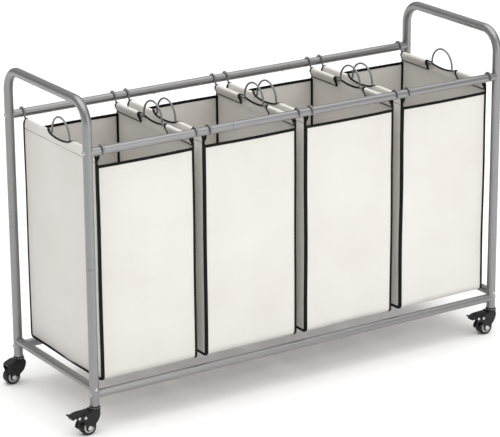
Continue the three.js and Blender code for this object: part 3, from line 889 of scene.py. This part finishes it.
thread = surface("brown_thread", Roughness=0.7, Sheen_Weight=0.2)
drive(thread, "Base Color", mottle(thread, 300), (0.045, 0.032, 0.026), (0.085, 0.063, 0.052))

STITCH_PITCH = 4.4 * MM
STITCH_LENGTH = 3.7 * MM
THREAD_RADIUS = 0.55 * MM


def stitches(row, outward):
    """Spindles along a row of points, one to each pitch: radius * sin(turn) round the row's own line."""
    length = np.concatenate([[0], np.cumsum(np.linalg.norm(np.diff(row, axis=0), axis=1))])
    places = np.arange(STITCH_PITCH, length[-1] - STITCH_PITCH, STITCH_PITCH)
    centres = np.stack([np.interp(places, length, row[:, k]) for k in range(3)], 1)
    along = unit(np.stack([np.interp(places, length, np.gradient(row[:, k])) for k in range(3)], 1))
    out = np.array(outward, float)
    up = unit(np.cross(along, out))[:, None, None]
    turn = np.linspace(0, np.pi, 5)
    round_it = np.linspace(0, 2 * np.pi, 7)
    ring = np.sin(turn)[:, None, None] * (np.cos(round_it)[:, None] * out + np.sin(round_it)[:, None] * up)
    stations = -np.cos(turn)[:, None, None] * along[:, None, None] * STITCH_LENGTH / 2
    grids = centres[:, None, None] + stations + THREAD_RADIUS * ring
    return [skin(grid) for grid in grids]


for number in (1, 2, 3, 4):
    bag = f"bag_{number}"
    sewn = []
    for side, way in (("left", -1), ("right", 1)):
        row = sides[bag, side][:, STITCH_COLUMN].copy()
        row[:, 0] += way * CLOTH / 2
        sewn += stitches(row, (way, 0, 0))
    piece(f"{bag}_hem_stitches", sewn, thread, f"{bag}_hung", sharp=180)

# ---------------------------------------------------------------------------------------------------------
# Caster stems. A zinc-plated plug is pressed into each leg. Round the leg's foot sits a black pressed cup,
# the upper half of a race of bearing balls on which the fork swivels.

black_paint = coated("black_paint", 80, (0.006, 0.006, 0.007), (0.012, 0.012, 0.013), 650, 0.05 * MM,
                     Roughness=0.32, Specular_IOR_Level=0.3)

STEM_X = {"fl": LEFT_X, "rl": LEFT_X, "fr": RIGHT_X, "rr": RIGHT_X}
BALLS = 12
BALL_RADIUS = 1.5 * MM
BALL_RING = POST_RADIUS + 1.0 * MM
BALL_Z = 62.3 * MM
CUP_LOW, CUP_HIGH = 63.5 * MM, 66.8 * MM
CUP_RADIUS = POST_RADIUS + 1.1 * MM
CUP_SKIRT = POST_RADIUS + 0.3 * MM
for corner in STEM_X:
    node = f"caster_stem_{corner}"
    low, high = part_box(node)
    centre = np.array([*middle(f"leg_{corner}")[:2], 0])
    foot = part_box(f"leg_{corner}")[0].z
    plug = POST_BORE - NECK_GAP
    flange = POST_RADIUS - 0.5 * MM
    stem = turned([
        [low.z, 0], [low.z, 6 * MM], [low.z + 0.5 * MM, 6.5 * MM], [low.z + 2.7 * MM, 6.5 * MM],
        [low.z + 2.7 * MM, 4 * MM], [foot - 2 * MM, 4 * MM], [foot - 2 * MM, flange - 0.4 * MM],
        [foot - 1.6 * MM, flange], [foot - 0.7 * MM, flange], [foot - 0.3 * MM, flange - 0.4 * MM],
        [foot - 0.3 * MM, plug], [high.z - 1 * MM, plug], [high.z, plug - 1 * MM], [high.z, 0],
    ], "z", centre, 40)
    skins = [skin(stem)]
    turn = np.radians(np.linspace(0, 180, 9))
    ball = BALL_RADIUS * np.stack([-np.cos(turn), np.sin(turn)], 1)
    for angle in np.linspace(0, 2 * np.pi, BALLS, endpoint=False):
        place = centre + (BALL_RING * math.cos(angle), BALL_RING * math.sin(angle), BALL_Z)
        skins.append(skin(turned(ball, "z", place, 12)))
    piece(f"{node}_plug", skins, zinc, "frame", [node])
    shoulder = bend((CUP_HIGH - 1 * MM, CUP_RADIUS - 1 * MM), 1 * MM, 90, 0, 4)
    cup = np.concatenate([
        [[foot + 0.2 * MM, POST_RADIUS], [foot + 0.2 * MM, CUP_SKIRT], [CUP_LOW, CUP_SKIRT],
         [CUP_LOW, CUP_RADIUS + 0.6 * MM], [CUP_LOW + 0.6 * MM, CUP_RADIUS + 0.6 * MM],
         [CUP_LOW + 1.2 * MM, CUP_RADIUS]],
        shoulder, [[CUP_HIGH, POST_RADIUS], [foot + 0.2 * MM, POST_RADIUS]],
    ])
    piece(f"{node}_cup", [skin(turned(cup, "z", centre, 48))], black_paint, "frame")

# ---------------------------------------------------------------------------------------------------------
# Forks. Each is pressed from black-painted sheet: two cheeks under a crown, with the lower race on top. A
# front caster's cheeks reach further back to carry the brake, and a toothed guard hangs from a bridge
# between their tails.

AXLE = (-21, middle("caster_tyre_fl")[2] / MM)
CHEEK_OUT = 13.5 * MM
CHEEK_IN = 11.5 * MM
CROWN_HALF = CHEEK_IN + 0.5 * MM
GUARD_IN, GUARD_OUT, GUARD_TOOTH = 25.8, 28.6, 1.9


def rounded(corners, radius, steps=4):
    """An outline of straight stretches whose corners are parabolas that start and end radius away from the
    corner, or half a stretch away where the stretch is short. The first point is repeated at the end."""
    corners = np.asarray(corners, float)
    before, after = np.roll(corners, 1, 0) - corners, np.roll(corners, -1, 0) - corners
    back = np.minimum(radius / np.linalg.norm(before, axis=1), 0.5)[:, None]
    ahead = np.minimum(radius / np.linalg.norm(after, axis=1), 0.5)[:, None]
    t = np.linspace(0, 1, steps + 1)[None, :, None]
    start, end = (corners + before * back)[:, None], (corners + after * ahead)[:, None]
    curve = (1 - t) ** 2 * start + 2 * t * (1 - t) * corners[:, None] + t**2 * end
    line = curve.reshape(-1, 2)
    line = line[np.linalg.norm(line - np.roll(line, 1, 0), axis=1) > 1e-7]
    return np.concatenate([line, line[:1]])


def plate(outline, low, high, rim=0.6 * MM):
    """An outline of (x, z) points made a plate from y = low to y = high. Its rims are quarter circles: each
    ring is the outline drawn in along its own normals by rim * (1 - sin), at low + rim * (1 - cos)."""
    loop = outline[:-1]
    edge = unit(np.roll(loop, -1, 0) - loop)
    x, z = loop[:, 0], loop[:, 1]
    wound = np.sign((x * np.roll(z, -1) - np.roll(x, -1) * z).sum())
    side = np.stack([-edge[:, 1], edge[:, 0]], 1) * wound
    inward = side + np.roll(side, 1, 0)
    inward /= np.maximum((inward * side).sum(1, keepdims=True), 0.5)
    turn = np.linspace(0, np.pi / 2, 4)
    depth = np.concatenate([low + rim * (1 - np.cos(turn)), high - rim * (1 - np.cos(turn[::-1]))])
    inset = rim * (1 - np.sin(np.concatenate([turn, turn[::-1]])))
    rings = loop + inward * inset[:, None, None]
    rings = np.concatenate([rings, rings[:, :1]], 1)
    return np.stack([rings[..., 0], np.broadcast_to(depth[:, None], rings.shape[:2]), rings[..., 1]], 2)


def fork_outline(braked):
    """A cheek from the side: nose, crown and tail, and a round lug about the axle."""
    nose, tail = (8, -52) if braked else (13, -36)
    tail_low, tail_high = (39, 48) if braked else (42, 52)
    lug = bend(AXLE, 8.5, 162, 333, 14)
    upper = [[nose - 6, 33], [nose - 1, 44], [nose, 54], [nose - 3, 59.9], [-17, 57 if braked else 59.4],
             [tail + 4, tail_high + 1], [tail, tail_high - 3], [tail, tail_low], [-34, 36.5]]
    return rounded(np.concatenate([lug, upper]) * MM, 4 * MM)


def race():
    """The ring on the crown that the balls run in, with a groove inside its raised rim, and a boss below."""
    rim = bend((60.0, 12.9), 0.9, 90, 0, 4)
    groove = [[60.9, 12.5], [60.4, 12.0], [60.4, 11.0], [58.6, 10.6]]
    return np.concatenate([[[49, 4.4], [49, 12.5], [57.5, 13.1]], rim, groove, [[58.6, 4.4], [49, 4.4]]]) * MM


def guard():
    """The toothed guard from the side: a curved tongue behind the tyre, with teeth along its back."""
    inner = bend(AXLE, GUARD_IN, 134, 177, 8)
    outer = bend(AXLE, GUARD_OUT, 177, 134, 10)
    outer[1:-1:2] += unit(outer[1:-1:2] - AXLE) * GUARD_TOOTH
    return np.concatenate([inner, outer, inner[:1]]) * MM


for corner, stem_x in STEM_X.items():
    node = f"caster_fork_{corner}"
    braked = corner in ("fl", "fr")
    stem_y = middle(f"leg_{corner}")[1]
    cheek = fork_outline(braked)
    plates = [plate(cheek, -CHEEK_OUT, -CHEEK_IN), plate(cheek, CHEEK_IN, CHEEK_OUT)]
    crown_nose, crown_tail = (7, -16) if braked else (12, -35)
    crown = [[crown_nose, 46], [crown_nose, 55], [crown_nose - 3, 59.9], [-14, 59.6],
             [crown_tail, 58 if braked else 52.5], [crown_tail, 46]]
    plates.append(plate(rounded(np.array(crown) * MM, 2.5 * MM), -CROWN_HALF, CROWN_HALF))
    if braked:
        plates.append(plate(guard(), -6.5 * MM, 6.5 * MM, 0.3 * MM))
        bridge = rounded(np.array([[-45, 38.6], [-37, 37.3], [-37, 39.8], [-45, 40]]) * MM, 0.4 * MM)
        plates.append(plate(bridge, -CROWN_HALF, CROWN_HALF, 0.3 * MM))
    skins = [skin(grid + (stem_x, stem_y, 0), caps=True) for grid in plates]
    skins.append(skin(turned(race(), "z", (stem_x, stem_y, 0), 48)))
    piece(f"{node}_pressing", skins, black_paint, f"fork_{corner}", [node])

# ---------------------------------------------------------------------------------------------------------
# Wheels. A black rubber tyre is moulded on a light grey hub whose web is recessed inside its rim. It turns on
# an axle bolt with a hexagon head at each end.

tyre_rubber = coated("tyre_rubber", 70, (0.010, 0.010, 0.011), (0.020, 0.020, 0.021), 900, 0.06 * MM,
                     Roughness=0.6, Specular_IOR_Level=0.25)
hub_plastic = coated("hub_plastic", 60, (0.44, 0.44, 0.435), (0.52, 0.52, 0.515), 800, 0.03 * MM,
                     Roughness=0.42)
WHEEL_SIDES = 64

for corner in STEM_X:
    centre = middle(f"caster_tyre_{corner}")
    wheel_body, fork_body = f"wheel_{corner}", f"fork_{corner}"
    radius = centre[2] / MM
    shoulder = bend((8.2, radius - 2.8), 2.8, 90, 0, 5)
    side = np.concatenate([[[0, radius]], shoulder, [[11.0, 14.5], [10.6, 14.0], [10.6, 13.2]]])
    tyre = np.concatenate([side, side[:0:-1] * (-1, 1), side[:1]]) * MM
    piece(f"caster_tyre_{corner}_tread", [skin(turned(tyre, "y", centre, WHEEL_SIDES))], tyre_rubber,
          wheel_body, [f"caster_tyre_{corner}"])
    half = np.array([[11.2, 3.3], [11.2, 4.4], [10.8, 4.9], [6.4, 5.6], [5.8, 6.4], [5.8, 8.2], [6.4, 9.0],
                     [10.2, 9.6], [11.0, 10.2], [11.0, 12.6], [10.6, 13.1]])
    hub = np.concatenate([half, half[::-1] * (-1, 1), half[:1]]) * MM
    piece(f"caster_hub_{corner}_wheel", [skin(turned(hub, "y", centre, WHEEL_SIDES))], hub_plastic,
          wheel_body, [f"caster_hub_{corner}"])
    head = np.array([[13.7, 3.0], [13.7, 6.1], [15.4, 6.1], [16.0, 5.2], [16.0, 0]]) * MM
    axle = np.concatenate([head[::-1] * (-1, 1), head])
    hexed = np.ones((len(axle), HEAD_SIDES + 1))
    hexed[axle[:, 1] > head[0, 1]] = hexagon() * 0.9
    piece(f"caster_axle_{corner}_bolt", [skin(turned(axle, "y", centre, HEAD_SIDES, hexed))], zinc,
          fork_body, [f"caster_axle_{corner}"])

# ---------------------------------------------------------------------------------------------------------
# Brakes. A black moulded pedal rocks on a pin between the cheeks of each front caster, and its toe turns up
# behind the wheel. A second rivet ties the cheeks together further back. Its shaft and the pin run straight
# through the lever, which has no holes for them.

pedal_plastic = coated("pedal_plastic", 90, (0.005, 0.005, 0.006), (0.011, 0.011, 0.012), 700, 0.06 * MM,
                       Roughness=0.42, Specular_IOR_Level=0.3)

COVER = np.array([
    [-17.6, 12.4, 58.0, 57.2], [-21, 12.7, 58.3, 56.4], [-28, 12.7, 58.4, 54.6], [-38, 12.7, 58.2, 54.1],
    [-46, 12.6, 57.9, 54.0], [-52, 11.8, 57.2, 53.4], [-57, 10.4, 56.5, 52.2], [-62, 8.4, 56.1, 52.7],
    [-66, 7.0, 57.2, 53.2], [-70, 6.2, 58.4, 54.3], [-72.6, 5.8, 59.2, 55.2],
]) * MM
LEVER = [[-19, 57], [-50, 57], [-56, 55.5], [-56, 47.6], [-50, 46], [-44, 44.5], [-36, 42], [-28, 42],
         [-24, 46], [-19, 52]]
COVER_POWER = 3.5
LUG = [[-65, 54.5], [-64.6, 45.0], [-58, 45.6], [-54, 47.4], [-54, 55]]


def cover():
    """The pedal's cover: at each station (x, half width, top, underside) a section with a flat underside and
    a superellipse of power 3.5 for its top, and straight lines from one station to the next."""
    fine = np.linspace(0, len(COVER) - 1, 4 * len(COVER))
    x, half, top, under = (np.interp(fine, np.arange(len(COVER)), column)[:, None] for column in COVER.T)
    turn = np.linspace(0, np.pi, 17)
    across = np.sign(np.cos(turn)) * np.abs(np.cos(turn)) ** (2 / COVER_POWER)
    rise = np.sin(turn) ** (2 / COVER_POWER)
    y = np.concatenate([half * across, -half * 0.94, half * 0.94, half], 1)
    shoulder = under + (top - under) * 0.25
    z = np.concatenate([shoulder + (top - shoulder) * rise, under, under, shoulder], 1)
    return np.stack([np.broadcast_to(x, y.shape), y, z], 2)


def rivet(centre):
    """A rivet through both cheeks, with a low domed head on each: a quarter of an ellipse."""
    turn = np.radians(np.linspace(0, 90, 6))
    dome = np.stack([13.6 + 1.3 * np.sin(turn), 3.6 * np.cos(turn)], 1)
    half = np.concatenate([[[13.6, 1.9]], dome]) * MM
    return skin(turned(np.concatenate([half[::-1] * (-1, 1), half]), "y", centre, 24))


for corner in ("fl", "fr"):
    stem_x, stem_y = STEM_X[corner], middle(f"leg_{corner}")[1]
    lever = plate(rounded(np.array(LEVER) * MM, 2 * MM), -11.1 * MM, 11.1 * MM, 0.8 * MM)
    lug = plate(rounded(np.array(LUG) * MM, 1.5 * MM), -9.5 * MM, 9.5 * MM, 0.5 * MM)
    skins = [skin(grid + (stem_x, stem_y, 0), caps=True) for grid in (cover(), lever, lug)]
    piece(f"brake_pedal_{corner}_lever", skins, pedal_plastic, f"pedal_{corner}",
          [f"brake_pedal_{corner}"])
    pivot = middle(f"brake_pin_{corner}")
    piece(f"brake_pin_{corner}_rivet", [rivet(pivot)], zinc, f"fork_{corner}",
          [f"brake_pin_{corner}"])
    tie = pivot + (-16 * MM, 0, 2 * MM)
    piece(f"fork_tie_{corner}_rivet", [rivet(tie)], zinc, f"fork_{corner}")
